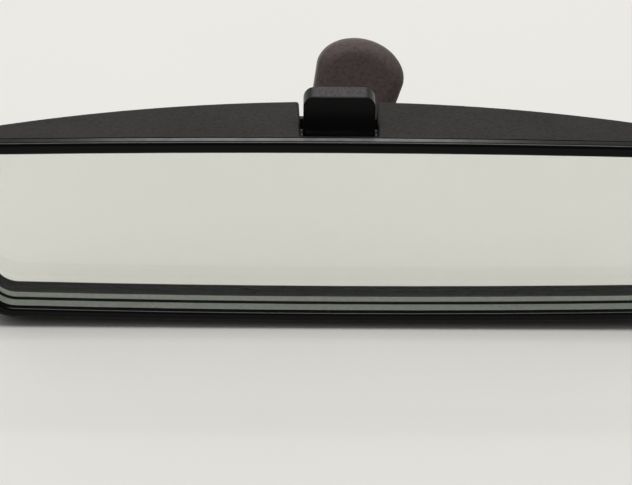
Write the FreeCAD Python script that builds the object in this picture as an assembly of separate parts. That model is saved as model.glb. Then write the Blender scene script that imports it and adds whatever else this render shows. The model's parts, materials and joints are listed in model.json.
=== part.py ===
"""Interior rearview mirror: a manual day/night prism head on a ball-jointed windshield foot.

The row frame has +X to the observer's right, +Y away from the observer and +Z up, in millimetres.
Its origin is the centre of the foot's flat windshield face. The head is drawn in its own frame:
x along its length, y from the bezel's front plane to the back, z from its lower long edge up.
"""
import FreeCAD, Part
import math
import os

from FreeCAD import Placement, Rotation, Vector

X_AXIS = Vector(1, 0, 0)
Y_AXIS = Vector(0, 1, 0)
Z_AXIS = Vector(0, 0, 1)

# Head: overall size and shell
HEAD_WIDTH = 242.0        # between the corners of the upper long edge
HEAD_LOW_WIDTH = 230.0    # between the corners of the lower long edge
HEAD_HEIGHT = 66.0
EDGE_BOW = 1.4            # how much the long edges bulge at mid-length
END_BOW = 1.2             # how much the short ends bulge at mid-height
CORNER_RADIUS = 11.5
WALL = 2.0
SEAM_Y = 3.1              # rear face of the bezel's visible side
SEAM_GAP = 0.5            # open groove between bezel and housing
LAP_DEPTH = 1.0           # how far the bezel's hidden tongue runs past the seam
HEAD_DEPTH = 37.5
BACK_PLAN_RADIUS = 335.0
BACK_CROWN_RADIUS = 120.0
BACK_CROWN_Z = 33.0
TOP_DRAFT = 4.5           # degrees
END_DRAFT = 2.5
FLAT_BOTTOM = 12.0        # the bottom is flat to here, then rises by the head's lean
BACK_EDGE_RADIUS = 3.0
HEAD_LEAN = 13.0          # the head leans back by this angle when it stands on its lower edge

# Bezel and glass
LIP = 3.7                 # mean width of the bezel's front frame
OPENING_DROP = 0.3        # opening and glass sit this far below the middle, so the lower lip is narrower
LIP_THICKNESS = 2.0
LIP_OUTER_ROUND = 1.1
LIP_INNER_ROUND = 0.8
LEDGE_INSET = 2.65        # the bezel's tongue is this wide, so it also holds the glass in
GLASS_FRONT_Y = SEAM_Y + LAP_DEPTH
GLASS_INSET = 2.5
GLASS_BOTTOM_THICKNESS = 6.3
GLASS_TOP_THICKNESS = 3.5
BACKING_INSET = 0.75      # the silver stops this far inside the glass's edge
BACKING_THICKNESS = 0.3
BACKING_GAP = 0.02
PAD_THICKNESS = 2.5
POST_RADIUS = 4.0
POST_X = 84.0
POST_HEIGHTS = (20.0, 46.0)

# Ball joint, centred inside the head
BALL_Y = 27.0
BALL_Z = 33.0
BALL_RADIUS = 8.0
LINER_THICKNESS = 1.45
RUNNING_GAP = 0.05
SOCKET_RADIUS = 11.5
SOCKET_FRONT = -7.0       # measured along the socket axis from the ball's centre
SOCKET_REAR = 4.5
LINER_REAR = 4.0
LINER_FRONT = -8.6
COLLAR_WALL = 1.85
RING_BORE_RADIUS = 9.2
DISC_SPRING_BORE_RADIUS = 7.2
DISC_SPRING_RADIUS = 11.0
DISC_SPRING_THICKNESS = 0.5
FLANGE_RADIUS = 17.95
FLANGE_THICKNESS = 2.0
RIVET_CIRCLE_RADIUS = 15.8
RIVET_SHANK_RADIUS = 1.2
RIVET_HEAD_RADIUS = 2.1
RIVET_HEAD_HEIGHT = 0.8
RIVET_COUNT = 4
STEM_OPENING_RADIUS = 14.0
NECK_RADIUS = 4.2
NECK_LENGTH = 12.0
SHANK_RADIUS = 2.8
SHANK_LENGTH = 8.0
FIT_GAP = 0.02            # between pieces that stay fixed to each other
TOUCH = 0.01

# Carrier plate
PLATE_FRONT = 15.5
PLATE_THICKNESS = 2.5
PLATE_HALF_WIDTH = 30.0
PLATE_CORNER_RADIUS = 6.0
PLATE_HOLE_RADIUS = 6.0
PLATE_LOW = 15.2
PLATE_HIGH = 51.0
PIVOT_Y = 17.0
PIVOT_Z = 11.0
PIVOT_PIN_RADIUS = 1.5
KNUCKLE_RADIUS = 3.8
KNUCKLE_IN = 20.0
KNUCKLE_OUT = 28.0
BUSH_RADIUS = 2.5
BUSH_FLANGE_RADIUS = 3.4
BUSH_FLANGE = 0.8
EAR_GAP = 0.2
EAR_THICKNESS = 3.0
BUMPER_X = 23.0
BUMPER_Z = 46.5
BUMPER_RADIUS = 3.0
BUMPER_HEIGHT = 1.4

# Day/night lever
LEVER_Y = 13.75
LEVER_Z = 60.0
HUB_RADIUS = 3.6
HUB_HALF_WIDTH = 11.3
LEVER_PIN_RADIUS = 1.25
TAB_FRONT = 10.0
TAB_THICKNESS = 7.5
TAB_LOW = 62.6
TAB_HIGH = 76.8
TAB_CORNER_RADIUS = 3.6
TAB_LOW_CORNER_RADIUS = 2.0
TAB_EDGE_RADIUS = 0.6
NOTCH_HALF_WIDTH = 13.3   # at the back; the sides close in towards the front and the floor
NOTCH_FRONT_HALF_WIDTH = 12.3
NOTCH_FLOOR = 57.0
NOTCH_FLARE = 0.7
NOTCH_CORNER_RADIUS = 0.8
CAM_ARM = 6.0
CAM_RADIUS = 1.5
CAM_HALF_WIDTH = 5.0
LEVER_SWING = 35.0
CAM_GAP = 0.15
CAM_CHANNEL_WALL = 1.2
CAM_CHANNEL_OVERRUN = 2.5 # each end of the channel passes the cam nose by this much
LEVER_EAR_IN = 13.4
LEVER_EAR_OUT = 16.0
LEVER_BUSH_RADIUS = 3.0
LEVER_WEB_THICKNESS = 5.2
CAM_ARM_THICKNESS = 1.8
CLIP_RADIUS = 2.6
CLIP_THICKNESS = 0.8
SPRING_THICKNESS = 0.35

# Foot
FOOT_WIDTH = 29.5
FOOT_LENGTH = 41.8
FOOT_THICKNESS = 11.0
FOOT_CROWN = 0.38         # height of the half-elliptic top over the foot's width
FOOT_TAPER = 5.7          # each side closes in by this angle below the crown
FOOT_LEAN = -35.0         # the foot's face leans away from the observer at its top
FOOT_ROLL = 12.7          # clockwise as the observer sees it
FOOT_YAW = -6.4           # its front turned to the observer's left
FOOT_BACK = 46.5          # ball centre to windshield face, before the roll and yaw
FOOT_UP = 0.6
FOOT_LOW_RADIUS = 8.0
COVER_WALL = 1.8
COVER_ROUND = 5.0
ARM_DROP = 5.0            # the arm leaves the foot this far below its centre
ARM_START_RADIUS = NECK_RADIUS + 0.3
ARM_RADIUS = 7.2
COVER_ARM_GAP = 0.3
ARM_REACH = 8.0           # length of the arm's straight run at either end
CHANNEL_WIDTH = 13.0
CHANNEL_FLARE = 1.5
CHANNEL_DEPTH = 4.2
CHANNEL_TOP = 11.0
SET_SCREW_RADIUS = 2.0
SET_SCREW_Z = 3.0
SET_SCREW_BORE_GAP = 0.05
SET_SCREW_KEY_RADIUS = 1.15
SET_SCREW_KEY_DEPTH = 2.2
LEAF_HALF_LENGTH = 8.0
LEAF_HALF_WIDTH = 4.0
LEAF_THICKNESS = 0.4
LEAF_BOW = 0.9


def box(x0, x1, y0, y1, z0, z1):
    """A block between two corners."""
    return Part.makeBox(x1 - x0, y1 - y0, z1 - z0, Vector(x0, y0, z0))


def rod_x(radius, x0, x1, y, z):
    """A round bar along X."""
    return Part.makeCylinder(radius, x1 - x0, Vector(x0, y, z), X_AXIS)


def rod_y(radius, y0, y1, x, z):
    """A round bar along Y."""
    return Part.makeCylinder(radius, y1 - y0, Vector(x, y0, z), Y_AXIS)


def fused(shapes):
    """One solid from shapes that touch or overlap."""
    first = shapes[0]
    return first.fuse(shapes[1:]).removeSplitter()


def both_sides(shape):
    """The shape and its mirror image across the head's middle plane."""
    return [shape, shape.mirror(Vector(0, 0, 0), X_AXIS)]


def prism_x(points, x0, x1):
    """A polygon of (y, z) corners, extruded along X."""
    corners = [Vector(x0, y, z) for y, z in points]
    corners.append(corners[0])
    return Part.Face(Part.makePolygon(corners)).extrude(Vector(x1 - x0, 0, 0))


def head_placement():
    """Head frame to row frame, from where the foot holds the ball."""
    lean = Rotation(X_AXIS, -HEAD_LEAN)
    return Placement(ball_centre() - lean.multVec(Vector(0, BALL_Y, BALL_Z)), lean)


def foot_turn():
    """The swivel of the foot about the ball."""
    return Rotation(Z_AXIS, FOOT_YAW) * Rotation(Y_AXIS, FOOT_ROLL)


def foot_placement():
    """Foot frame (x across, y towards the windshield, z along its length) to row frame."""
    return Placement(Vector(0, 0, 0), foot_turn() * Rotation(X_AXIS, FOOT_LEAN))


def ball_centre():
    """The ball's centre in the row frame."""
    return foot_turn().multVec(Vector(0, FOOT_BACK, FOOT_UP)) * -1


def head_outline(inset, y, top_drop=0.0, end_drop=0.0):
    """The head's outline at a depth, set in by a wall: four bowed edges that meet at sharp corners."""
    top_x = HEAD_WIDTH / 2 - inset - end_drop - END_BOW
    low_x = HEAD_LOW_WIDTH / 2 - inset - end_drop - END_BOW
    side_x = (top_x + low_x) / 2 + END_BOW
    top = HEAD_HEIGHT - inset - top_drop
    middle = (top + inset) / 2
    high = top - EDGE_BOW
    low = inset + EDGE_BOW
    corners = [Vector(-top_x, y, high), Vector(top_x, y, high), Vector(low_x, y, low), Vector(-low_x, y, low)]
    crests = [Vector(0, y, top), Vector(side_x, y, middle), Vector(0, y, inset), Vector(-side_x, y, middle)]
    edges = []
    for index, crest in enumerate(crests):
        edges.append(Part.Arc(corners[index], crest, corners[(index + 1) % 4]).toShape())
    return Part.Wire(edges)


def round_corners(block, inset):
    """The block with its four corner edges rounded."""
    edges = [edge for edge in block.Edges if edge.BoundBox.YLength > 0.9 * block.BoundBox.YLength]
    return block.makeFillet(max(CORNER_RADIUS - inset, 1.0), edges)


def head_slab(inset, y0, y1):
    """The outline extruded straight back between two depths."""
    slab = Part.Face(head_outline(inset, y0)).extrude(Vector(0, y1 - y0, 0))
    return round_corners(slab, inset)


def opening_slab(inset, y0, y1):
    """A slab for the opening and the glass, which sit a little low in the head."""
    slab = head_slab(inset, y0, y1)
    slab.translate(Vector(0, 0, -OPENING_DROP))
    return slab


def head_block(inset, y0):
    """The housing's outer form, or its hollow when inset by the wall."""
    length = HEAD_DEPTH + 8.0
    depth = length - y0
    near = head_outline(inset, y0)
    far = head_outline(inset, length, depth * math.tan(math.radians(TOP_DRAFT)),
                       depth * math.tan(math.radians(END_DRAFT)))
    block = round_corners(Part.makeLoft([near, far], True, True), inset)
    crown = Part.makeTorus(BACK_PLAN_RADIUS - BACK_CROWN_RADIUS, BACK_CROWN_RADIUS - inset,
                           Vector(0, HEAD_DEPTH - BACK_PLAN_RADIUS, BACK_CROWN_Z), Z_AXIS)
    rise = math.tan(math.radians(HEAD_LEAN))
    start = FLAT_BOTTOM
    under = prism_x([(start, inset), (start + 60, inset + 60 * rise), (start + 60, -30), (start, -30)],
                    -HEAD_WIDTH, HEAD_WIDTH)
    return block.common(crown).cut(under)


def rounded_back(block):
    """The block with its back rim rounded."""
    rim = []
    for edge in block.Edges:
        bounds = edge.BoundBox
        if bounds.YMin > FLAT_BOTTOM - 1.0 and bounds.YLength < 25 and bounds.YMax > SEAM_Y + 5:
            rim.append(edge)
    return block.makeFillet(BACK_EDGE_RADIUS, rim)


def silver_plane():
    """The tilted plane of the glass's silvered rear face: its origin is the lower rear edge."""
    length = HEAD_HEIGHT - 2 * GLASS_INSET
    wedge = math.degrees(math.asin((GLASS_BOTTOM_THICKNESS - GLASS_TOP_THICKNESS) / length))
    place = Placement(Vector(0, GLASS_FRONT_Y + GLASS_BOTTOM_THICKNESS, GLASS_INSET), Rotation(X_AXIS, wedge))
    return place * Placement(Vector(0, 0, -GLASS_INSET), Rotation())


def silver_y(z):
    """Depth of the silvered face at a height in the head."""
    slope = (GLASS_BOTTOM_THICKNESS - GLASS_TOP_THICKNESS) / (HEAD_HEIGHT - 2 * GLASS_INSET)
    return GLASS_FRONT_Y + GLASS_BOTTOM_THICKNESS - slope * (z - GLASS_INSET)


def front_edges(shape, inset):
    """The edges on the head's front plane that lie at least this far inside its outline."""
    found = []
    for edge in shape.Edges:
        bounds = edge.BoundBox
        high = bounds.ZMin > inset - TOUCH and bounds.ZMax < HEAD_HEIGHT - inset + TOUCH
        wide = max(-bounds.XMin, bounds.XMax) < HEAD_WIDTH / 2 - inset + TOUCH
        if bounds.YMax < TOUCH and high and wide:
            found.append(edge)
    return found


def make_bezel():
    """The front frame: rounded lip, short side wall and a tongue that laps into the housing."""
    frame = head_slab(0, 0, SEAM_Y)
    frame = frame.makeFillet(LIP_OUTER_ROUND, front_edges(frame, 0))
    frame = frame.cut(opening_slab(LEDGE_INSET, LIP_THICKNESS, SEAM_Y))
    frame = frame.cut(opening_slab(LIP, -1, LIP_THICKNESS))
    frame = frame.makeFillet(LIP_INNER_ROUND, front_edges(frame, LIP - OPENING_DROP))
    start = SEAM_Y - 0.5
    end = SEAM_Y + LAP_DEPTH - 0.1
    tongue = head_slab(WALL / 2 + FIT_GAP, start, end).cut(opening_slab(LEDGE_INSET, start, end))
    notch = box(-NOTCH_HALF_WIDTH, NOTCH_HALF_WIDTH, SEAM_Y, end, NOTCH_FLOOR, HEAD_HEIGHT)
    return fused([frame, tongue.cut(notch)])


def notch_section(half, y):
    """The notch's outline at a depth: a little narrower at its floor."""
    corners = [(-half, HEAD_HEIGHT + 5), (half, HEAD_HEIGHT + 5),
               (half - NOTCH_FLARE, NOTCH_FLOOR), (-half + NOTCH_FLARE, NOTCH_FLOOR)]
    points = [Vector(x, y, z) for x, z in corners]
    points.append(points[0])
    return Part.makePolygon(points)


def notch_cutter():
    """The slot in the housing's top wall and back wall that the lever swings through."""
    front = notch_section(NOTCH_FRONT_HALF_WIDTH, SEAM_Y + LAP_DEPTH)
    back = notch_section(NOTCH_HALF_WIDTH, HEAD_DEPTH)
    return Part.makeLoft([front, back], True, True)


def round_notch(shell):
    """The shell with the notch's two upper corners rounded."""
    corners = []
    for edge in shell.Edges:
        bounds = edge.BoundBox
        beside = abs(bounds.Center.x)
        at_notch = NOTCH_FRONT_HALF_WIDTH - NOTCH_FLARE < beside < NOTCH_HALF_WIDTH and bounds.XLength < 2
        if at_notch and bounds.YLength > 10 and bounds.ZMax > HEAD_HEIGHT - 1:
            corners.append(edge)
    return shell.makeFillet(NOTCH_CORNER_RADIUS, corners)


def make_rear_housing():
    """The back shell with its glass posts, pivot ears, lever ears and stop ribs."""
    outer = rounded_back(head_block(0, SEAM_Y + SEAM_GAP))
    hollow = head_block(WALL, SEAM_Y - 1)
    shell = outer.cut(hollow)
    shell = shell.cut(head_slab(WALL / 2, SEAM_Y, SEAM_Y + LAP_DEPTH))

    inside = []
    for height in POST_HEIGHTS:
        start = silver_y(height) + BACKING_GAP + BACKING_THICKNESS + PAD_THICKNESS + 0.1
        inside += both_sides(rod_y(POST_RADIUS, start, HEAD_DEPTH, POST_X, height))
    ear_in = KNUCKLE_OUT + BUSH_FLANGE + EAR_GAP
    ear = box(ear_in, ear_in + EAR_THICKNESS, PIVOT_Y - 4, PIVOT_Y + 4, 0, PIVOT_Z + 4)
    inside += both_sides(ear)
    lever_ear = box(LEVER_EAR_IN, LEVER_EAR_OUT, LEVER_Y - 3.6, LEVER_Y + 4.5, LEVER_Z - 4, HEAD_HEIGHT)
    inside += both_sides(lever_ear)
    stop_front = PLATE_FRONT + PLATE_THICKNESS + BUMPER_HEIGHT + 0.1
    inside += both_sides(rod_y(BUMPER_RADIUS + 0.6, stop_front, HEAD_DEPTH, BUMPER_X, BUMPER_Z))

    core = head_block(WALL / 2, SEAM_Y + SEAM_GAP)
    shell = shell.fuse([piece.common(core) for piece in inside]).removeSplitter()
    shell = round_notch(shell.cut(notch_cutter()))
    shell = shell.cut(rod_y(STEM_OPENING_RADIUS, BALL_Y, HEAD_DEPTH + 5, 0, BALL_Z))
    shell = shell.cut(rod_x(PIVOT_PIN_RADIUS + FIT_GAP, -60, 60, PIVOT_Y, PIVOT_Z))
    return shell.cut(rod_x(LEVER_PIN_RADIUS + FIT_GAP, -30, 30, LEVER_Y, LEVER_Z))


def make_mirror_glass():
    """The prism glass: thick along the lower edge, its edges square to the front face."""
    slab = opening_slab(GLASS_INSET, GLASS_FRONT_Y, GLASS_FRONT_Y + 2 * GLASS_BOTTOM_THICKNESS)
    behind = box(-HEAD_WIDTH, HEAD_WIDTH, 0, HEAD_DEPTH, -HEAD_HEIGHT, 2 * HEAD_HEIGHT)
    behind.Placement = silver_plane()
    return slab.cut(behind)


def make_silvered_backing():
    """The silver coat with its safety film."""
    film = opening_slab(GLASS_INSET + BACKING_INSET, BACKING_GAP, BACKING_GAP + BACKING_THICKNESS)
    film.Placement = silver_plane()
    return film


def make_glass_pads():
    """Four foam pads between the backing and the housing's posts."""
    pads = []
    for height in POST_HEIGHTS:
        pad = rod_y(POST_RADIUS - 0.3, 0, PAD_THICKNESS, 0, 0)
        tilt = silver_plane().Rotation
        depth = silver_y(height) + BACKING_GAP + BACKING_THICKNESS + 0.05
        pad.Placement = Placement(Vector(POST_X, depth, height), tilt)
        level = rod_y(POST_RADIUS * 2, depth + PAD_THICKNESS - 0.1, HEAD_DEPTH, POST_X, height)
        pads += both_sides(pad.cut(level))
    return Part.makeCompound(pads)


def make_carrier_plate():
    """The stamped plate: knuckles on the pivot pin below, a channel for the lever's cam above."""
    rear = PLATE_FRONT + PLATE_THICKNESS
    plate = box(-PLATE_HALF_WIDTH, PLATE_HALF_WIDTH, PLATE_FRONT, rear, PLATE_LOW, PLATE_HIGH)
    upright = [edge for edge in plate.Edges if edge.BoundBox.YLength > 1]
    plate = plate.makeFillet(PLATE_CORNER_RADIUS, upright)
    pieces = [plate]
    for side in (-1, 1):
        x0, x1 = sorted((side * KNUCKLE_IN, side * KNUCKLE_OUT))
        pieces.append(rod_x(KNUCKLE_RADIUS, x0, x1, PIVOT_Y, PIVOT_Z))
        pieces.append(box(x0, x1, PLATE_FRONT, rear, PIVOT_Z, PLATE_LOW + 8))
    pieces.append(cam_channel())
    solid = fused(pieces)
    solid = solid.cut(rod_x(BUSH_RADIUS + FIT_GAP, -40, 40, PIVOT_Y, PIVOT_Z))
    solid = solid.cut(rod_y(PLATE_HOLE_RADIUS, PLATE_FRONT - 1, rear + 1, 0, BALL_Z))
    for x, z in rivet_places():
        solid = solid.cut(rod_y(RIVET_SHANK_RADIUS + FIT_GAP, PLATE_FRONT - 1, rear + 1, x, z))
    return solid


def cam_rest():
    """Centre of the cam nose at rest, in the head frame (y, z)."""
    lag = math.radians(LEVER_SWING / 2)
    return LEVER_Y + CAM_ARM * math.sin(lag), LEVER_Z - CAM_ARM * math.cos(lag)


def cam_channel():
    """A U channel along X on top of the plate, around the cam nose."""
    nose_y, nose_z = cam_rest()
    inner = CAM_RADIUS + CAM_GAP
    outer = inner + CAM_CHANNEL_WALL
    floor_z = nose_z - CAM_RADIUS - 0.6
    half = CAM_HALF_WIDTH + CAM_CHANNEL_OVERRUN
    channel = box(-half, half, nose_y - outer, nose_y + outer, PLATE_HIGH, nose_z + 1.0)
    return channel.cut(box(-half, half, nose_y - inner, nose_y + inner, floor_z, nose_z + 5))


def rivet_places():
    """Rivet centres around the ball axis, in the head frame (x, z)."""
    places = []
    for index in range(RIVET_COUNT):
        angle = math.radians(45 + index * 360 / RIVET_COUNT)
        places.append((RIVET_CIRCLE_RADIUS * math.cos(angle), BALL_Z + RIVET_CIRCLE_RADIUS * math.sin(angle)))
    return places


def ring_y(outer, inner, y0, y1):
    """A plain ring around the ball axis."""
    return rod_y(outer, y0, y1, 0, BALL_Z).cut(rod_y(inner, y0 - 1, y1 + 1, 0, BALL_Z))


def make_socket_collar():
    """The flanged collar that the socket cup turns in."""
    rear = PLATE_FRONT + PLATE_THICKNESS
    bore = SOCKET_RADIUS + RUNNING_GAP
    collar = rod_y(bore + COLLAR_WALL, rear, BALL_Y + SOCKET_REAR, 0, BALL_Z)
    flange = rod_y(FLANGE_RADIUS, rear, rear + FLANGE_THICKNESS, 0, BALL_Z)
    solid = fused([collar, flange]).cut(rod_y(bore, rear - 1, BALL_Y + 10, 0, BALL_Z))
    for x, z in rivet_places():
        solid = solid.cut(rod_y(RIVET_SHANK_RADIUS + FIT_GAP, rear - 1, rear + 5, x, z))
    return solid


def make_collar_rivets():
    """The rivets that clamp the collar's flange to the plate."""
    front = PLATE_FRONT
    rear = PLATE_FRONT + PLATE_THICKNESS + FLANGE_THICKNESS
    rivets = []
    for x, z in rivet_places():
        shank = rod_y(RIVET_SHANK_RADIUS, front, rear, x, z)
        head = rod_y(RIVET_HEAD_RADIUS, front - RIVET_HEAD_HEIGHT, front, x, z)
        upset = rod_y(RIVET_HEAD_RADIUS, rear, rear + RIVET_HEAD_HEIGHT, x, z)
        rivets.append(fused([shank, head, upset]))
    return Part.makeCompound(rivets)


def make_retaining_ring():
    """The ring over the collar's rear end that keeps the cup in."""
    y0 = BALL_Y + SOCKET_REAR + FIT_GAP
    return ring_y(SOCKET_RADIUS + RUNNING_GAP + COLLAR_WALL, RING_BORE_RADIUS, y0 + 0.05, y0 + 1.5)


def make_disc_spring():
    """The coned washer that loads the cup against the ring."""
    y0 = PLATE_FRONT + PLATE_THICKNESS + 0.05
    y1 = BALL_Y + SOCKET_FRONT - 0.05
    bore = DISC_SPRING_BORE_RADIUS
    rim = DISC_SPRING_RADIUS
    corners = [Vector(bore, y1 - DISC_SPRING_THICKNESS, 0), Vector(bore, y1, 0),
               Vector(rim, y0 + DISC_SPRING_THICKNESS, 0), Vector(rim, y0, 0)]
    corners.append(corners[0])
    washer = Part.Face(Part.makePolygon(corners)).revolve(Vector(0, 0, 0), Y_AXIS, 360)
    washer.translate(Vector(0, 0, BALL_Z))
    return washer


def make_socket_cup():
    """The cup: round outside, with a spherical bore around the liner."""
    cup = rod_y(SOCKET_RADIUS, BALL_Y + SOCKET_FRONT, BALL_Y + SOCKET_REAR, 0, BALL_Z)
    bore = BALL_RADIUS + 2 * RUNNING_GAP + LINER_THICKNESS
    return cup.cut(Part.makeSphere(bore, Vector(0, BALL_Y, BALL_Z)))


def make_ball_liner():
    """The nylon shell between ball and cup, open at the rear for the neck."""
    centre = Vector(0, BALL_Y, BALL_Z)
    inner = BALL_RADIUS + RUNNING_GAP
    liner = Part.makeSphere(inner + LINER_THICKNESS, centre)
    liner = liner.common(rod_y(20, BALL_Y + LINER_FRONT, BALL_Y + LINER_REAR, 0, BALL_Z))
    return liner.cut(Part.makeSphere(inner, centre))


def make_pivot_bushes():
    """Two flanged nylon bushes in the carrier's knuckles."""
    body = rod_x(BUSH_RADIUS, KNUCKLE_IN, KNUCKLE_OUT, PIVOT_Y, PIVOT_Z)
    flange = rod_x(BUSH_FLANGE_RADIUS, KNUCKLE_OUT, KNUCKLE_OUT + BUSH_FLANGE, PIVOT_Y, PIVOT_Z)
    bush = fused([body, flange]).cut(rod_x(PIVOT_PIN_RADIUS + RUNNING_GAP, 0, 50, PIVOT_Y, PIVOT_Z))
    return Part.makeCompound(both_sides(bush))


def make_stop_bumpers():
    """Two rubber buttons on the back of the plate."""
    rear = PLATE_FRONT + PLATE_THICKNESS
    button = rod_y(BUMPER_RADIUS, rear, rear + BUMPER_HEIGHT, BUMPER_X, BUMPER_Z)
    return Part.makeCompound(both_sides(button))


def pivot_pin_end():
    """Half length of the pivot pin."""
    return KNUCKLE_OUT + BUSH_FLANGE + EAR_GAP + EAR_THICKNESS + 1.6


def lever_pin_end():
    """Half length of the lever pin."""
    return LEVER_EAR_OUT + 1.6


def make_pivot_pin():
    return rod_x(PIVOT_PIN_RADIUS, -pivot_pin_end(), pivot_pin_end(), PIVOT_Y, PIVOT_Z)


def make_lever_pin():
    return rod_x(LEVER_PIN_RADIUS, -lever_pin_end(), lever_pin_end(), LEVER_Y, LEVER_Z)


def make_pin_clips():
    """Four push-on clips, one at each pin end."""
    clips = []
    pins = [(pivot_pin_end(), PIVOT_PIN_RADIUS, PIVOT_Y, PIVOT_Z),
            (lever_pin_end(), LEVER_PIN_RADIUS, LEVER_Y, LEVER_Z)]
    for end, radius, y, z in pins:
        x1 = end - 0.5
        x0 = x1 - CLIP_THICKNESS
        clip = rod_x(CLIP_RADIUS, x0, x1, y, z).cut(rod_x(radius + FIT_GAP, x0 - 1, x1 + 1, y, z))
        clips += both_sides(clip)
    return Part.makeCompound(clips)


def make_detent_spring():
    """A leaf across the two lever ears that bears on the hub's front."""
    rear = LEVER_Y - HUB_RADIUS - FIT_GAP
    return box(-LEVER_EAR_OUT, LEVER_EAR_OUT, rear - SPRING_THICKNESS, rear, LEVER_Z - 2, LEVER_Z + 2)


def make_lever():
    """Hub, tab and cam arm in one moulding."""
    hub = rod_x(HUB_RADIUS, -HUB_HALF_WIDTH, HUB_HALF_WIDTH, LEVER_Y, LEVER_Z)
    half = HUB_HALF_WIDTH
    tab = box(-half, half, TAB_FRONT, TAB_FRONT + TAB_THICKNESS, TAB_LOW, TAB_HIGH)
    middle = (TAB_LOW + TAB_HIGH) / 2
    upper = [edge for edge in tab.Edges if edge.BoundBox.YLength > TOUCH and edge.BoundBox.ZMin > middle]
    tab = tab.makeFillet(TAB_CORNER_RADIUS, upper)
    lower = [edge for edge in tab.Edges if edge.BoundBox.YLength > TOUCH and edge.BoundBox.ZMax < middle]
    tab = tab.makeFillet(TAB_LOW_CORNER_RADIUS, lower)
    tab = tab.makeFillet(TAB_EDGE_RADIUS, [edge for edge in tab.Edges if edge.BoundBox.YLength < TOUCH])
    web_half = LEVER_WEB_THICKNESS / 2
    web = box(-half, half, LEVER_Y - web_half, LEVER_Y + web_half, LEVER_Z, TAB_LOW + TAB_LOW_CORNER_RADIUS)
    nose_y, nose_z = cam_rest()
    nose = rod_x(CAM_RADIUS, -CAM_HALF_WIDTH, CAM_HALF_WIDTH, nose_y, nose_z)
    arm_half = CAM_ARM_THICKNESS / 2
    arm = box(-CAM_HALF_WIDTH, CAM_HALF_WIDTH, LEVER_Y - arm_half, LEVER_Y + arm_half,
              LEVER_Z - CAM_ARM, LEVER_Z)
    arm.rotate(Vector(0, LEVER_Y, LEVER_Z), X_AXIS, LEVER_SWING / 2)
    solid = fused([hub, tab, web, arm, nose])
    return solid.cut(rod_x(LEVER_PIN_RADIUS + RUNNING_GAP, -20, 20, LEVER_Y, LEVER_Z))


def make_lever_bushes():
    """Spacer bushes on the pin between hub and ears."""
    inner = HUB_HALF_WIDTH + 0.1
    outer = LEVER_EAR_IN - 0.1
    bush = rod_x(LEVER_BUSH_RADIUS, inner, outer, LEVER_Y, LEVER_Z)
    bush = bush.cut(rod_x(LEVER_PIN_RADIUS + RUNNING_GAP, inner - 1, outer + 1, LEVER_Y, LEVER_Z))
    return Part.makeCompound(both_sides(bush))


def foot_outline(inset, y):
    """The foot's outline: a half ellipse on top, sides that close in below it, round lower corners."""
    half = FOOT_WIDTH / 2 - inset
    shoulder = FOOT_LENGTH / 2 - FOOT_WIDTH * FOOT_CROWN
    top = FOOT_LENGTH / 2 - inset
    bottom = -FOOT_LENGTH / 2 + inset
    low_half = half - (shoulder - bottom) * math.tan(math.radians(FOOT_TAPER))
    centre = Vector(0, y, shoulder)
    crown = Part.Ellipse(Vector(half, y, shoulder), Vector(0, y, top), centre)
    start = crown.parameter(Vector(half, y, shoulder))
    crown_edge = crown.toShape(start, start + math.pi)
    corners = [Vector(-half, y, shoulder), Vector(-low_half, y, bottom),
               Vector(low_half, y, bottom), Vector(half, y, shoulder)]
    lines = [Part.makeLine(corners[i], corners[i + 1]) for i in range(3)]
    return Part.Wire([crown_edge] + lines)


def foot_slab(inset, y0, y1):
    """The foot's outline extruded between two depths, with its lower corners rounded."""
    slab = Part.Face(foot_outline(inset, y0)).extrude(Vector(0, y1 - y0, 0))
    low = [edge for edge in slab.Edges if edge.BoundBox.YLength > 0.5 and edge.BoundBox.ZMax < 0]
    return slab.makeFillet(FOOT_LOW_RADIUS - inset, low)


def set_screw_axis_y():
    return -CHANNEL_DEPTH / 2


def rounded_foot(inset, y0, y1):
    """The foot's form with its front rim rounded."""
    slab = foot_slab(inset, y0, y1)
    rim = [edge for edge in slab.Edges if edge.BoundBox.YMax < y0 + 0.01]
    return slab.makeFillet(COVER_ROUND - inset, rim)


def make_foot_cover():
    """The moulded cover over the foot core, with holes for the arm and the set screw."""
    cover = rounded_foot(0, -FOOT_THICKNESS, -0.6)
    cover = cover.cut(rounded_foot(COVER_WALL, -FOOT_THICKNESS + COVER_WALL, 0))
    arm = make_arm(COVER_ARM_GAP)
    arm.Placement = foot_placement().inverse()
    cover = cover.cut(arm)
    cover = cover.cut(box(-CHANNEL_WIDTH / 2 - 2, CHANNEL_WIDTH / 2 + 2, -CHANNEL_DEPTH - 0.5, 0,
                          -FOOT_LENGTH / 2 - 1, -FOOT_LENGTH / 2 + 4))
    return cover.cut(rod_x(SET_SCREW_RADIUS + 0.4, 0, FOOT_WIDTH, set_screw_axis_y(), SET_SCREW_Z))


def channel_cutter():
    """The dovetail channel that slides over a bonded button, open at the lower end."""
    wide = CHANNEL_WIDTH / 2 + CHANNEL_FLARE
    narrow = CHANNEL_WIDTH / 2
    low = -FOOT_LENGTH / 2 - 1
    corners = [Vector(-narrow, 1, low), Vector(narrow, 1, low), Vector(wide, -CHANNEL_DEPTH, low),
               Vector(-wide, -CHANNEL_DEPTH, low)]
    corners.append(corners[0])
    return Part.Face(Part.makePolygon(corners)).extrude(Vector(0, 0, CHANNEL_TOP - low))


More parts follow.
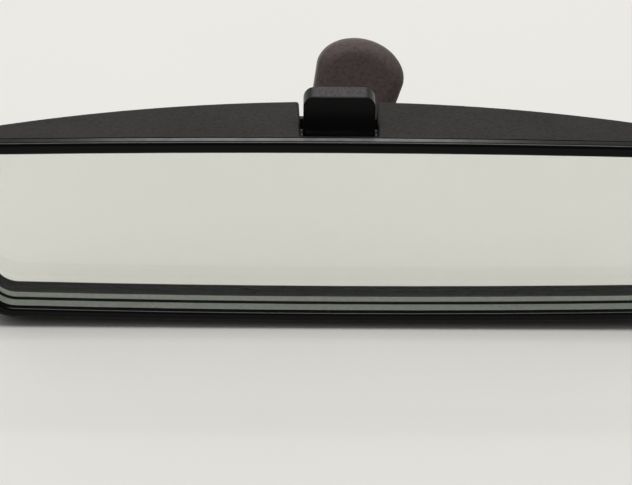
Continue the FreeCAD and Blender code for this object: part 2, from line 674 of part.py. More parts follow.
def make_arm(gap=0.0):
    """The arm's curve from the ball's neck to the foot's face, in the row frame, grown by a gap."""
    ball = ball_centre()
    out = Rotation(X_AXIS, -HEAD_LEAN).multVec(Y_AXIS)
    place = foot_placement()
    start = ball + out * NECK_LENGTH
    end = place.multVec(Vector(0, -CHANNEL_DEPTH - 2.0, -ARM_DROP))
    inward = place.Rotation.multVec(Y_AXIS)
    poles = [start, start + out * ARM_REACH, end - inward * ARM_REACH, end]
    curve = Part.BezierCurve()
    curve.setPoles(poles)
    wires = []
    steps = 6
    for index in range(steps + 1):
        t = index / steps
        direction = curve.tangent(t)[0]
        radius = ARM_START_RADIUS + (ARM_RADIUS - ARM_START_RADIUS) * t ** 1.5
        wires.append(Part.Wire(Part.makeCircle(radius + gap, curve.value(t), direction)))
    return Part.makeLoft(wires, True, False)


def ball_shank():
    """Where the stud's shank starts and the way it points, in the row frame."""
    out = Rotation(X_AXIS, -HEAD_LEAN).multVec(Y_AXIS)
    start = ball_centre() + out * NECK_LENGTH
    return start, out


def make_foot_core():
    """The cast core: plate with the button channel, and the arm that carries the ball stud."""
    core = rounded_foot(COVER_WALL + 0.05, -FOOT_THICKNESS + COVER_WALL + 0.05, 0)
    core = core.cut(channel_cutter())
    bore_radius = SET_SCREW_RADIUS + SET_SCREW_BORE_GAP
    core = core.cut(rod_x(bore_radius, 0, FOOT_WIDTH, set_screw_axis_y(), SET_SCREW_Z))
    core.Placement = foot_placement()
    start, out = ball_shank()
    bore = Part.makeCylinder(SHANK_RADIUS + FIT_GAP, SHANK_LENGTH + 0.1, start, out)
    return fused([core, make_arm()]).cut(bore)


def make_ball_stud():
    """The steel ball with its neck and the shank pressed into the arm."""
    start, out = ball_shank()
    ball = Part.makeSphere(BALL_RADIUS, ball_centre())
    neck = Part.makeCylinder(NECK_RADIUS, NECK_LENGTH - 0.02, ball_centre(), out)
    shank = Part.makeCylinder(SHANK_RADIUS, SHANK_LENGTH + 1, start - out, out)
    return fused([ball, neck, shank])


def make_retaining_spring():
    """A shallow bowed leaf on the channel's floor that grips the button."""
    floor = -CHANNEL_DEPTH + 0.05
    low = Vector(-LEAF_HALF_WIDTH, floor, -LEAF_HALF_LENGTH - 1)
    high = Vector(-LEAF_HALF_WIDTH, floor, LEAF_HALF_LENGTH - 1)
    crest = Vector(-LEAF_HALF_WIDTH, floor + LEAF_BOW, -1)
    lift = Vector(0, LEAF_THICKNESS, 0)
    under = Part.Arc(low, crest, high).toShape()
    over = Part.Arc(high + lift, crest + lift, low + lift).toShape()
    profile = Part.Wire([under, Part.makeLine(high, high + lift), over, Part.makeLine(low + lift, low)])
    return Part.Face(profile).extrude(Vector(2 * LEAF_HALF_WIDTH, 0, 0))


def make_set_screw():
    """The socket set screw in the foot's side."""
    tip = CHANNEL_WIDTH / 2 + CHANNEL_FLARE / 2 - 0.4
    end = FOOT_WIDTH / 2 - 0.8
    screw = rod_x(SET_SCREW_RADIUS, tip, end, set_screw_axis_y(), SET_SCREW_Z)
    corners = []
    for index in range(7):
        angle = math.radians(60 * index)
        corners.append(Vector(end - SET_SCREW_KEY_DEPTH,
                              set_screw_axis_y() + SET_SCREW_KEY_RADIUS * math.cos(angle),
                              SET_SCREW_Z + SET_SCREW_KEY_RADIUS * math.sin(angle)))
    return screw.cut(Part.Face(Part.makePolygon(corners)).extrude(Vector(5, 0, 0)))


def build():
    """Every node, placed in the row frame."""
    head = {
        "bezel": make_bezel(), "rear_housing": make_rear_housing(), "mirror_glass": make_mirror_glass(),
        "silvered_backing": make_silvered_backing(), "glass_pads": make_glass_pads(),
        "pivot_pin": make_pivot_pin(), "lever_pin": make_lever_pin(), "pin_clips": make_pin_clips(),
        "detent_spring": make_detent_spring(), "lever": make_lever(), "lever_bushes": make_lever_bushes(),
        "carrier_plate": make_carrier_plate(), "socket_collar": make_socket_collar(),
        "collar_rivets": make_collar_rivets(), "retaining_ring": make_retaining_ring(),
        "disc_spring": make_disc_spring(), "pivot_bushes": make_pivot_bushes(),
        "stop_bumpers": make_stop_bumpers(), "socket_cup": make_socket_cup(), "ball_liner": make_ball_liner(),
    }
    foot = {"foot_cover": make_foot_cover(), "retaining_spring": make_retaining_spring(),
            "set_screw": make_set_screw()}
    nodes = {"foot_core": make_foot_core(), "ball_stud": make_ball_stud()}
    for group, place in ((head, head_placement()), (foot, foot_placement())):
        for name, shape in group.items():
            shape.Placement = place * shape.Placement
            nodes[name] = shape
    return nodes


os.makedirs("parts", exist_ok=True)
for node, solid in build().items():
    solid.exportStep("parts/" + node + ".step")
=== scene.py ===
import json
import math

import bmesh
import bpy
from mathutils import Matrix, Vector


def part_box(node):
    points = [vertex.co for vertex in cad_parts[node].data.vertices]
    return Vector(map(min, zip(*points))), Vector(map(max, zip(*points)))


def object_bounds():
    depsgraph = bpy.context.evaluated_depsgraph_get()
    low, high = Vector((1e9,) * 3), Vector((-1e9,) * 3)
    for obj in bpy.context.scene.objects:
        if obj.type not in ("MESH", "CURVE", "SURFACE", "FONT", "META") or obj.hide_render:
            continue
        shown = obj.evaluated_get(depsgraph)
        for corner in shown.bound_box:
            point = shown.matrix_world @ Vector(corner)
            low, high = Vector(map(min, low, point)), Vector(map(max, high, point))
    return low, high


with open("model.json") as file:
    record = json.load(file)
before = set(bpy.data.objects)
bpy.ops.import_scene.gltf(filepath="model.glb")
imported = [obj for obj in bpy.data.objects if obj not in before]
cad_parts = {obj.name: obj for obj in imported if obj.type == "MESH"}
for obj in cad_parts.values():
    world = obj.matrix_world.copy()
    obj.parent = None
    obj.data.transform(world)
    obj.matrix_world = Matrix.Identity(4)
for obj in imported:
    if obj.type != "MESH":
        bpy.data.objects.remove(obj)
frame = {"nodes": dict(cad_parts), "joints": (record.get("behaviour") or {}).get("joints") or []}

CAD_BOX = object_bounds()
NODES = frame["nodes"]
MM = 0.001

# Viewpoint: where the camera stands, seen from the head's front
CAMERA_AZIMUTH = 0.65
CAMERA_ELEVATION = 43.2
CAMERA_ROLL = 0.76
CAMERA_DISTANCE = 922 * MM
CAMERA_LENS = 166.7
SENSOR_WIDTH = 36.0        # in mm, like the lens
CAMERA_REACH = 50.0        # in metres, well past the table's rim
AIM_SIDE = -7.1 * MM
AIM_HEIGHT = 36.0 * MM     # above the bezel's lowest point

# Light: places in metres, powers in watts
ROOM_DARK = 0.12
ROOM_BRIGHT = 0.68
ROOM_BRIGHTEST_WAY = (0.0, 0.6, 0.8)     # up and behind the object
ROOM_FADE = (0.12, 0.8)    # from dark to bright, as the cosine to the brightest way grows
ROOM_TINT = (1.0, 0.995, 0.975)
TOP_SOFTBOX_PLACE = (0.0, 0.1, 1.3)
TOP_SOFTBOX_TARGET = (0.0, 0.03, 0.0)
TOP_SOFTBOX_SIZE = (0.6, 0.5)
TOP_SOFTBOX_POWER = 11.0
TOP_SOFTBOX_TINT = (1.0, 0.995, 0.98)
LOW_SOFTBOX_PLACE = (-0.02, 1.5, 0.46)
LOW_SOFTBOX_TARGET = (0.0, 0.0, 0.0)
LOW_SOFTBOX_SIZE = (0.36, 0.3)
LOW_SOFTBOX_POWER = 1.25
LOW_SOFTBOX_TINT = (1.0, 1.0, 1.0)
TABLE_RADIUS = 4.0
TABLE_SIDES = 96
EXPOSURE = 0.04
CONTRAST_GAMMA = 0.88

# Colours, as linear red, green and blue
HOUSING_BLACK = (0.0185, 0.0148, 0.0152)
# Each paler edge colour below is partly wear and partly a painted rim highlight.
HOUSING_EDGE_WEAR_AND_HIGHLIGHT = (0.06, 0.055, 0.052)
FOOT_BROWN = (0.102, 0.081, 0.080)
FOOT_EDGE_WEAR_AND_HIGHLIGHT = (0.17, 0.165, 0.155)
BEZEL_BLACK = (0.0028, 0.0026, 0.0027)
BEZEL_EDGE_WEAR_AND_HIGHLIGHT = (0.04, 0.04, 0.04)
LEVER_BLACK = (0.013, 0.013, 0.013)
LEVER_EDGE_WEAR_AND_HIGHLIGHT = (0.07, 0.068, 0.066)
LEVER_GRAIN_DARK = (0.012, 0.011, 0.011)
# Painted light: this pale grain tone stands for the lever's top lit from above.
LEVER_GRAIN_PAINTED_LIGHT = (0.060, 0.054, 0.056)
ACETAL_BLACK = (0.006, 0.006, 0.006)
ACETAL_EDGE_WEAR_AND_HIGHLIGHT = (0.05, 0.05, 0.05)
CASTING_COAT = (0.012, 0.012, 0.012)
CASTING_EDGE_WEAR_AND_HIGHLIGHT = (0.12, 0.12, 0.12)
PLATE_COAT = (0.010, 0.010, 0.011)
PLATE_EDGE_WEAR_AND_HIGHLIGHT = (0.10, 0.10, 0.10)
PLATED_STEEL = (0.62, 0.61, 0.58)
BLUED_STEEL = (0.20, 0.20, 0.22)
BLACKENED_STEEL = (0.07, 0.07, 0.07)
TARNISH = (0.78, 0.74, 0.68)
NYLON_TONES = ((0.74, 0.71, 0.62), (0.82, 0.80, 0.73))
RUBBER_TONES = ((0.016, 0.016, 0.016), (0.034, 0.033, 0.032))
GLASS_CLEAR = (0.997, 1.0, 0.992)
GROUND_GLASS_TONES = ((0.72, 0.78, 0.70), (0.92, 0.96, 0.89))
GLASS_EDGE_PAINT = (0.012, 0.012, 0.012)
SILVER_TONES = ((0.975, 0.97, 0.955), (0.99, 0.985, 0.97))
SAFETY_PAINT_TONES = ((0.16, 0.17, 0.18), (0.22, 0.23, 0.24))
TABLE_TONES = ((0.76, 0.755, 0.735), (0.79, 0.785, 0.765))
PALE_DUST = (0.30, 0.29, 0.27)
GREY_DUST = (0.20, 0.20, 0.19)

# Patterns, in cells to the metre
FINE_GRAIN = 2600.0
GRAIN_MOTTLE = 820.0
GRAIN_CLOUD = 28.0
FLOW_WAVE = 60.0
SATIN_SKIN = 5200.0
SATIN_CLOUD = 35.0
SATIN_STREAK = 160.0
LEVER_GRAIN = 1100.0
LEVER_WAVE = 90.0
STEEL_MARKS = 2600.0
STEEL_CLOUD = 120.0
NYLON_CLOUD = 180.0
NYLON_SKIN = 3000.0
RUBBER_CLOUD = 200.0
BUMPER_PORES = 2500.0
FOAM_PORES = 1600.0
GROUND_GLASS_GRAIN = 700.0
SILVER_HAZE = 40.0
SAFETY_PAINT_GRAIN = 700.0
TABLE_CLOUD = 6.0
TABLE_SMEAR = 45.0
PALE_DUST_CELLS = 210.0
GREY_DUST_CELLS = 330.0

# Finish
GLASS_INDEX = 1.52
GROUND_GLASS_GLOW = 0.085          # painted glow: emission that stands for the light reaching the ground edge through the glass
ROLLED_ALONG = (1.0, 1.0, 0.1)     # rolling marks are stretched ten times along one direction
EDGE_LIMIT = 0.6                   # a glass face that looks less along the head's depth is an edge
UPPER_LIMIT = 0.6                  # and an edge that looks more along the head's height is the upper one


def joint(name):
    """A joint of the record by name."""
    for entry in frame["joints"]:
        if entry["name"] == name:
            return entry
    raise KeyError(name)


HEAD_BACK = Vector(joint("head_roll")["axis"])      # the head's own rearward direction
HEAD_UP = Vector(joint("head_yaw")["axis"])         # the head's own upward direction


# ---------------------------------------------------------------- node helpers

class Shader:
    """A material's node tree, with short calls for the nodes used below."""

    def __init__(self, name):
        self.material = bpy.data.materials.new(name)
        self.material.use_nodes = True
        self.tree = self.material.node_tree
        self.tree.nodes.clear()
        self.output = self.add("ShaderNodeOutputMaterial")

    def add(self, kind, **settings):
        """A new node with its settings."""
        node = self.tree.nodes.new(kind)
        for key, value in settings.items():
            setattr(node, key, value)
        return node

    def put(self, node, **values):
        """Fill a node's inputs, by name with _ for a space, with values or links."""
        for key, value in values.items():
            socket = node.inputs[key.replace("_", " ")]
            if isinstance(value, bpy.types.NodeSocket):
                self.tree.links.new(value, socket)
            else:
                socket.default_value = value
        return node

    def place(self):
        """Object coordinates, which ride with the piece."""
        return self.add("ShaderNodeTexCoord").outputs["Object"]

    def noise(self, scale, detail=2.0, roughness=0.5, where=None):
        """Cloudy noise with this many cells to the metre."""
        node = self.add("ShaderNodeTexNoise")
        self.put(node, Vector=where or self.place(), Scale=scale, Detail=detail, Roughness=roughness)
        return node.outputs["Fac"]

    def remap(self, value, low, high, to_low, to_high):
        """Stretch a value's range low to high over another range, and hold it inside."""
        node = self.add("ShaderNodeMapRange")
        self.put(node, Value=value)
        node.inputs["From Min"].default_value = low
        node.inputs["From Max"].default_value = high
        node.inputs["To Min"].default_value = to_low
        node.inputs["To Max"].default_value = to_high
        return node.outputs["Result"]

    def feed(self, node, first, second):
        """Fill a node's first two inputs with values or links."""
        for socket, value in zip(node.inputs, (first, second)):
            if isinstance(value, bpy.types.NodeSocket):
                self.tree.links.new(value, socket)
            else:
                socket.default_value = value

    def math(self, operation, first, second=0.0):
        """Arithmetic on two values."""
        node = self.add("ShaderNodeMath", operation=operation)
        self.feed(node, first, second)
        return node.outputs[0]

    def blend(self, factor, first, second):
        """One colour where the factor is 0, another where it is 1."""
        node = self.add("ShaderNodeMix", data_type="RGBA")
        for socket, value in ((node.inputs[0], factor), (node.inputs[6], first), (node.inputs[7], second)):
            if isinstance(value, bpy.types.NodeSocket):
                self.tree.links.new(value, socket)
            elif socket is node.inputs[0]:
                socket.default_value = value
            else:
                socket.default_value = (*value, 1.0)
        return node.outputs[2]

    def bump(self, height, distance, strength, normal=None):
        """A normal roughened by a height pattern."""
        node = self.add("ShaderNodeBump")
        self.put(node, Height=height, Distance=distance, Strength=strength)
        if normal:
            self.put(node, Normal=normal)
        return node.outputs["Normal"]

    def soft_edges(self, radius):
        """A normal rounded over sharp edges."""
        node = self.add("ShaderNodeBevel", samples=4)
        self.put(node, Radius=radius)
        return node.outputs["Normal"]

    def dot(self, first, second):
        """The dot product of two directions."""
        node = self.add("ShaderNodeVectorMath", operation="DOT_PRODUCT")
        self.feed(node, first, second)
        return node.outputs["Value"]

    def edge_mask(self, radius):
        """1 on edges, 0 on open faces."""
        flat = self.add("ShaderNodeNewGeometry").outputs["Normal"]
        return self.remap(self.dot(self.soft_edges(radius), flat), 0.98, 0.80, 0.0, 1.0)

    def openness(self, reach):
        """1 on open faces, towards 0 in gaps and hollows."""
        node = self.add("ShaderNodeAmbientOcclusion", samples=6)
        self.put(node, Distance=reach)
        return self.remap(node.outputs["AO"], 0.35, 0.8, 0.0, 1.0)

    def facing(self, direction):
        """How squarely the flat face looks along a direction fixed to the piece."""
        turn = self.add("ShaderNodeVectorTransform", vector_type="NORMAL", convert_from="WORLD",
                        convert_to="OBJECT")
        self.put(turn, Vector=self.add("ShaderNodeNewGeometry").outputs["True Normal"])
        return self.dot(turn.outputs["Vector"], direction)

    def dust(self, cells, size, share):
        """Sparse round specks: one in some of the cells."""
        node = self.add("ShaderNodeTexVoronoi")
        self.put(node, Vector=self.place(), Scale=cells)
        near = self.math("LESS_THAN", node.outputs["Distance"], size)
        split = self.add("ShaderNodeSeparateColor")
        self.put(split, Color=node.outputs["Color"])
        return self.math("MULTIPLY", near, self.math("LESS_THAN", split.outputs[0], share))

    def principled(self, **values):
        """An all-round surface; colours may be plain triples."""
        node = self.add("ShaderNodeBsdfPrincipled")
        for key, value in values.items():
            if key in ("Base_Color", "Emission_Color") and not isinstance(value, bpy.types.NodeSocket):
                values[key] = (*value, 1.0)
        self.put(node, **values)
        return node.outputs["BSDF"]

    def mix(self, factor, first, second):
        """One surface where the factor is 0, another where it is 1."""
        node = self.add("ShaderNodeMixShader")
        self.put(node, Fac=factor)
        self.tree.links.new(first, node.inputs[1])
        self.tree.links.new(second, node.inputs[2])
        return node.outputs["Shader"]

    def finish(self, surface):
        """Close the tree with its surface and hand over the material."""
        self.tree.links.new(surface, self.output.inputs["Surface"])
        return self.material


def scaled(colour, factor):
    """A colour made lighter or darker."""
    return tuple(part * factor for part in colour)


# ---------------------------------------------------------------- materials

def grained_plastic(name, colour, edge_wear_and_highlight, roughness, shine, contrast, bloom=0.0):
    """Moulded plastic with a spark-eroded grain, mottled tone, handling marks, paler edges that are partly
    wear and partly a painted rim highlight, and painted shade in its gaps and hollows.

    The bloom is the chalky brightening that aged plastic shows where it is seen at a low angle.
    """
    s = Shader(name)
    fine = s.noise(FINE_GRAIN, detail=3.0, roughness=0.6)
    mottle = s.noise(GRAIN_MOTTLE, detail=3.0, roughness=0.6)
    cloud = s.noise(GRAIN_CLOUD, detail=4.0, roughness=0.55)
    edge = s.edge_mask(0.5 * MM)
    mixed = s.blend(s.remap(cloud, 0.35, 0.68, 0.0, 0.5), colour, scaled(colour, 1.2))
    mixed = s.blend(s.remap(mottle, 0.40, 0.66, 0.0, 0.55 * contrast), mixed, scaled(colour, 1.9))
    mixed = s.blend(s.remap(mottle, 0.46, 0.30, 0.0, 0.6 * contrast), mixed, scaled(colour, 0.5))
    # Paler edges: partly wear, partly a painted rim highlight.
    mixed = s.blend(s.math("MULTIPLY", edge, 0.45), mixed, edge_wear_and_highlight)
    specks = s.dust(PALE_DUST_CELLS, size=0.045, share=0.35)
    mixed = s.blend(s.math("MULTIPLY", specks, 0.5), mixed, PALE_DUST)
    # Painted shade: the colour darkens towards 0.12 of itself in gaps and hollows, where less light falls.
    mixed = s.blend(s.openness(9.0 * MM), scaled(colour, 0.12), mixed)
    rough = s.math("ADD", s.remap(cloud, 0.3, 0.7, roughness - 0.04, roughness + 0.05),
                   s.math("MULTIPLY", edge, -0.08))
    relief = s.math("ADD", fine, s.math("MULTIPLY", mottle, 1.3))
    normal = s.bump(relief, distance=0.06 * MM, strength=0.9, normal=s.soft_edges(0.25 * MM))
    return s.finish(s.principled(Base_Color=mixed, Roughness=rough, Normal=normal, Specular_IOR_Level=shine,
                                 Sheen_Weight=bloom, Sheen_Roughness=0.4))


def satin_plastic(name, colour, edge_wear_and_highlight, roughness, shine):
    """Smooth satin plastic with faint flow waves, dust and paler edges that are partly rubbed wear and
    partly a painted rim highlight.
    """
    s = Shader(name)
    wave = s.noise(FLOW_WAVE, detail=3.0)
    skin = s.noise(SATIN_SKIN)
    streak = s.noise(SATIN_STREAK, detail=4.0, roughness=0.6)
    cloud = s.noise(SATIN_CLOUD, detail=3.0)
    edge = s.edge_mask(0.4 * MM)
    mixed = s.blend(s.remap(cloud, 0.35, 0.7, 0.0, 0.6), colour, scaled(colour, 1.35))
    # Paler edges: partly wear, partly a painted rim highlight.
    mixed = s.blend(s.math("MULTIPLY", edge, 0.25), mixed, edge_wear_and_highlight)
    specks = s.dust(GREY_DUST_CELLS, size=0.03, share=0.2)
    mixed = s.blend(s.math("MULTIPLY", specks, 0.4), mixed, GREY_DUST)
    rough = s.remap(streak, 0.3, 0.75, roughness - 0.05, roughness + 0.07)
    relief = s.math("ADD", s.math("MULTIPLY", wave, 0.4), s.math("MULTIPLY", skin, 0.15))
    normal = s.bump(relief, distance=0.03 * MM, strength=0.5, normal=s.soft_edges(0.2 * MM))
    return s.finish(s.principled(Base_Color=mixed, Roughness=rough, Normal=normal, Specular_IOR_Level=shine))


def lever_plastic():
    """The lever's black plastic: smooth on its faces, grained where the finger pushes. The grained top is
    painted paler, as if lit from above, and the edges are paler, partly wear and partly a painted rim
    highlight.
    """
    s = Shader("lever_plastic")
    grain = s.noise(LEVER_GRAIN, detail=3.0, roughness=0.6)
    wave = s.noise(LEVER_WAVE)
    top = s.remap(s.facing(HEAD_UP), 0.93, 0.995, 0.0, 1.0)
    edge = s.edge_mask(0.3 * MM)
    # Painted light: the pale grain tone lightens the up-facing top, as if lit from above.
    grained = s.blend(s.remap(grain, 0.35, 0.65, 0.0, 1.0), LEVER_GRAIN_DARK, LEVER_GRAIN_PAINTED_LIGHT)
    mixed = s.blend(top, LEVER_BLACK, grained)
    # Paler edges: partly wear, partly a painted rim highlight.
    mixed = s.blend(s.math("MULTIPLY", edge, 0.3), mixed, LEVER_EDGE_WEAR_AND_HIGHLIGHT)
    rough = s.remap(top, 0.0, 1.0, 0.3, 0.5)
    relief = s.math("ADD", s.math("MULTIPLY", grain, top), s.math("MULTIPLY", wave, 0.2))
    normal = s.bump(relief, distance=0.06 * MM, strength=0.8, normal=s.soft_edges(0.2 * MM))
    shine = s.remap(top, 0.0, 1.0, 0.14, 0.35)
    return s.finish(s.principled(Base_Color=mixed, Roughness=rough, Normal=normal, Specular_IOR_Level=shine))


def metal(name, colour, roughness, brushed_along=None):
    """Plated or blued steel with turning or rolling marks and faint tarnish."""
    s = Shader(name)
    where = s.place()
    if brushed_along:
        stretch = s.add("ShaderNodeMapping")
        s.put(stretch, Vector=where, Scale=brushed_along)
        where = stretch.outputs["Vector"]
    marks = s.noise(STEEL_MARKS, detail=2.0, roughness=0.6, where=where)
    cloud = s.noise(STEEL_CLOUD, detail=4.0, roughness=0.6)
    tint = tuple(part * fade for part, fade in zip(colour, TARNISH))
    mixed = s.blend(s.remap(cloud, 0.4, 0.75, 0.0, 0.8), colour, tint)
    rough = s.remap(marks, 0.3, 0.7, roughness - 0.06, roughness + 0.1)
    normal = s.bump(marks, distance=0.01 * MM, strength=0.5, normal=s.soft_edges(0.15 * MM))
    return s.finish(s.principled(Base_Color=mixed, Metallic=1.0, Roughness=rough, Normal=normal))


def nylon():
    """Natural nylon: waxy, slightly translucent, with a faint mould texture."""
    s = Shader("nylon")
    cloud = s.noise(NYLON_CLOUD, detail=3.0)
    mixed = s.blend(s.remap(cloud, 0.3, 0.7, 0.0, 1.0), *NYLON_TONES)
    rough = s.remap(cloud, 0.3, 0.7, 0.32, 0.45)
    normal = s.bump(s.noise(NYLON_SKIN), distance=0.01 * MM, strength=0.5, normal=s.soft_edges(0.2 * MM))
    return s.finish(s.principled(Base_Color=mixed, Roughness=rough, Normal=normal, Subsurface_Weight=0.1,
                                 Subsurface_Scale=1.0 * MM))


def soft_black(name, roughness, pores):
    """Rubber or open-cell foam: matt black with pores."""
    s = Shader(name)
    cells = s.add("ShaderNodeTexVoronoi")
    s.put(cells, Vector=s.place(), Scale=pores)
    cloud = s.noise(RUBBER_CLOUD, detail=3.0)
    mixed = s.blend(s.remap(cloud, 0.35, 0.7, 0.0, 1.0), *RUBBER_TONES)
    normal = s.bump(cells.outputs["Distance"], distance=0.08 * MM, strength=0.7)
    rough = s.remap(cloud, 0.3, 0.7, roughness, roughness + 0.1)
    return s.finish(s.principled(Base_Color=mixed, Roughness=rough, Normal=normal))


def prism_glass():
    """Clear glass with polished faces and pale ground edges that carry a painted glow, its upper edge
    painted black.
    """
    s = Shader("prism_glass")
    clear = s.add("ShaderNodeBsdfGlass")
    s.put(clear, Color=(*GLASS_CLEAR, 1.0), Roughness=0.0, IOR=GLASS_INDEX)
    grain = s.noise(GROUND_GLASS_GRAIN, detail=4.0, roughness=0.7)
    tone = s.blend(s.remap(grain, 0.3, 0.7, 0.0, 1.0), *GROUND_GLASS_TONES)
    # Painted glow: the ground edge emits its own tone, standing for light that reaches it through the glass.
    ground = s.principled(Base_Color=tone, Roughness=0.6, Emission_Color=tone,
                          Emission_Strength=GROUND_GLASS_GLOW)
    painted = s.principled(Base_Color=GLASS_EDGE_PAINT, Roughness=0.5)
    outside = s.math("SUBTRACT", 1.0, s.add("ShaderNodeNewGeometry").outputs["Backfacing"])
    upper = s.math("MULTIPLY", outside, s.math("GREATER_THAN", s.facing(HEAD_UP), UPPER_LIMIT))
    rim = s.mix(upper, ground, painted)
    edge = s.math("LESS_THAN", s.math("ABSOLUTE", s.facing(HEAD_BACK)), EDGE_LIMIT)
    return s.finish(s.mix(edge, clear.outputs["BSDF"], rim))


def silvered_film():
    """Silver towards the glass, grey safety paint towards the housing."""
    s = Shader("silvered_film")
    haze = s.noise(SILVER_HAZE, detail=3.0)
    grain = s.noise(SAFETY_PAINT_GRAIN)
    bright = s.principled(Base_Color=s.blend(haze, *SILVER_TONES), Metallic=1.0, Roughness=0.0)
    paint = s.principled(Base_Color=s.blend(haze, *SAFETY_PAINT_TONES),
                         Roughness=s.remap(grain, 0.3, 0.7, 0.45, 0.6))
    front = s.math("LESS_THAN", s.facing(HEAD_BACK), -0.5)
    return s.finish(s.mix(front, paint, bright))


def table_top():
    """Pale, glossy table with faint smears."""
    s = Shader("table_top")
    cloud = s.noise(TABLE_CLOUD, detail=3.0)
    smear = s.noise(TABLE_SMEAR, detail=3.0)
    mixed = s.blend(cloud, *TABLE_TONES)
    rough = s.remap(smear, 0.3, 0.7, 0.06, 0.09)
    return s.finish(s.principled(Base_Color=mixed, Roughness=rough, Specular_IOR_Level=0.45))


# ---------------------------------------------------------------- dressing the CAD nodes

def dress(material, *names):
    """Give CAD nodes a material."""
    for name in names:
        mesh = NODES[name].data
        mesh.materials.clear()
        mesh.materials.append(material)


def dress_plastics():
    """Housing, foot cover, bezel, lever and the painted castings."""
    dress(grained_plastic("housing_grain", HOUSING_BLACK, HOUSING_EDGE_WEAR_AND_HIGHLIGHT, roughness=0.55, shine=0.2,
                          contrast=1.2), "rear_housing")
    dress(grained_plastic("foot_grain", FOOT_BROWN, FOOT_EDGE_WEAR_AND_HIGHLIGHT, roughness=0.6, shine=0.12,
                          contrast=0.5, bloom=0.14), "foot_cover")
    dress(satin_plastic("bezel_satin", BEZEL_BLACK, BEZEL_EDGE_WEAR_AND_HIGHLIGHT, roughness=0.18, shine=0.22), "bezel")
    dress(lever_plastic(), "lever")
    dress(satin_plastic("black_acetal", ACETAL_BLACK, ACETAL_EDGE_WEAR_AND_HIGHLIGHT, roughness=0.4, shine=0.3),
          "lever_bushes")
    dress(satin_plastic("coated_casting", CASTING_COAT, CASTING_EDGE_WEAR_AND_HIGHLIGHT, roughness=0.45, shine=0.4),
          "foot_core")
    dress(satin_plastic("coated_plate", PLATE_COAT, PLATE_EDGE_WEAR_AND_HIGHLIGHT, roughness=0.5, shine=0.35),
          "carrier_plate")


def dress_metals():
    """Ball joint, pins, springs and fasteners."""
    dress(metal("plated_steel", PLATED_STEEL, roughness=0.28),
          "ball_stud", "socket_cup", "socket_collar", "pivot_pin")
    dress(metal("blued_spring_steel", BLUED_STEEL, roughness=0.3, brushed_along=ROLLED_ALONG),
          "disc_spring", "retaining_ring", "retaining_spring", "detent_spring")
    dress(metal("blackened_steel", BLACKENED_STEEL, roughness=0.42),
          "set_screw", "collar_rivets", "lever_pin", "pin_clips")


def dress_liners_and_glass():
    """Nylon liners, rubber, foam and the mirror itself."""
    dress(nylon(), "ball_liner", "pivot_bushes")
    dress(soft_black("bumper_rubber", roughness=0.6, pores=BUMPER_PORES), "stop_bumpers")
    dress(soft_black("pad_foam", roughness=0.85, pores=FOAM_PORES), "glass_pads")
    dress(prism_glass(), "mirror_glass")
    dress(silvered_film(), "silvered_backing")


# ---------------------------------------------------------------- stage

def build_table():
    """A wide round table top just under the object."""
    mesh = bpy.data.meshes.new("table_top")
    bm = bmesh.new()
    bmesh.ops.create_circle(bm, cap_ends=True, segments=TABLE_SIDES, radius=TABLE_RADIUS)
    bm.to_mesh(mesh)
    bm.free()
    table = bpy.data.objects.new("table_top", mesh)
    table.location = (0, 0, CAD_BOX[0].z)
    bpy.context.scene.collection.objects.link(table)
    table.data.materials.append(table_top())


def softbox(name, place, target, size, power, tint):
    """A rectangular light that looks at its target."""
    data = bpy.data.lights.new(name, "AREA")
    data.shape = "RECTANGLE"
    data.size, data.size_y = size
    data.energy = power
    data.color = tint
    light = bpy.data.objects.new(name, data)
    light.location = place
    light.rotation_euler = (Vector(target) - Vector(place)).to_track_quat("-Z", "Y").to_euler()
    bpy.context.scene.collection.objects.link(light)
    return light


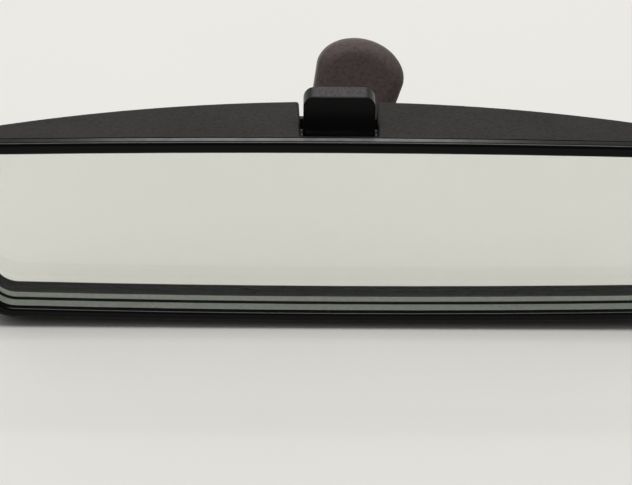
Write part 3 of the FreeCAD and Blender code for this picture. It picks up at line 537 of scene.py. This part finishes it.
def build_room():
    """A room that is bright overhead and behind the object and dark on the observer's side."""
    world = bpy.data.worlds.new("room")
    world.use_nodes = True
    tree = world.node_tree
    place = tree.nodes.new("ShaderNodeTexCoord")
    dot = tree.nodes.new("ShaderNodeVectorMath")
    dot.operation = "DOT_PRODUCT"
    dot.inputs[1].default_value = ROOM_BRIGHTEST_WAY
    ramp = tree.nodes.new("ShaderNodeMapRange")
    ramp.interpolation_type = "SMOOTHSTEP"
    ramp.inputs["From Min"].default_value = ROOM_FADE[0]
    ramp.inputs["From Max"].default_value = ROOM_FADE[1]
    ramp.inputs["To Min"].default_value = ROOM_DARK
    ramp.inputs["To Max"].default_value = ROOM_BRIGHT
    background = tree.nodes["Background"]
    background.inputs["Color"].default_value = (*ROOM_TINT, 1.0)
    tree.links.new(place.outputs["Generated"], dot.inputs[0])
    tree.links.new(dot.outputs["Value"], ramp.inputs["Value"])
    tree.links.new(ramp.outputs["Result"], background.inputs["Strength"])
    bpy.context.scene.world = world


def build_lights():
    """A softbox overhead and a small low one behind, which draws the lines along the glossy edges.

    The lever throws no shadow in the low light, so the bezel's line runs on below the tab.
    """
    softbox("softbox_top", TOP_SOFTBOX_PLACE, TOP_SOFTBOX_TARGET, TOP_SOFTBOX_SIZE,
            TOP_SOFTBOX_POWER, TOP_SOFTBOX_TINT)
    low = softbox("softbox_low", LOW_SOFTBOX_PLACE, LOW_SOFTBOX_TARGET, LOW_SOFTBOX_SIZE,
                  LOW_SOFTBOX_POWER, LOW_SOFTBOX_TINT)
    spared = bpy.data.collections.new("passed_by_the_low_light")
    spared.objects.link(NODES["lever"])
    spared.collection_objects[0].light_linking.link_state = "EXCLUDE"
    low.light_linking.blocker_collection = spared


def build_camera():
    """A camera in front of the object and above it, aimed at the head."""
    low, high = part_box("bezel")
    aim = Vector(((low.x + high.x) / 2 + AIM_SIDE, low.y, low.z + AIM_HEIGHT))
    azimuth = math.radians(CAMERA_AZIMUTH)
    elevation = math.radians(CAMERA_ELEVATION)
    level = math.cos(elevation)
    forward = Vector((math.sin(azimuth) * level, math.cos(azimuth) * level, -math.sin(elevation)))
    data = bpy.data.cameras.new("camera")
    data.lens = CAMERA_LENS
    data.sensor_width = SENSOR_WIDTH
    data.clip_end = CAMERA_REACH
    camera = bpy.data.objects.new("camera", data)
    turn = forward.to_track_quat("-Z", "Y").to_matrix() @ Matrix.Rotation(math.radians(CAMERA_ROLL), 3, "Z")
    camera.matrix_world = Matrix.Translation(aim - forward * CAMERA_DISTANCE) @ turn.to_4x4()
    bpy.context.scene.collection.objects.link(camera)
    bpy.context.scene.camera = camera


def set_tones():
    """How light turns into the picture's tones."""
    view = bpy.context.scene.view_settings
    view.view_transform = "Standard"
    view.exposure = EXPOSURE
    view.gamma = CONTRAST_GAMMA


dress_plastics()
dress_metals()
dress_liners_and_glass()
build_table()
build_room()
build_lights()
build_camera()
set_tones()
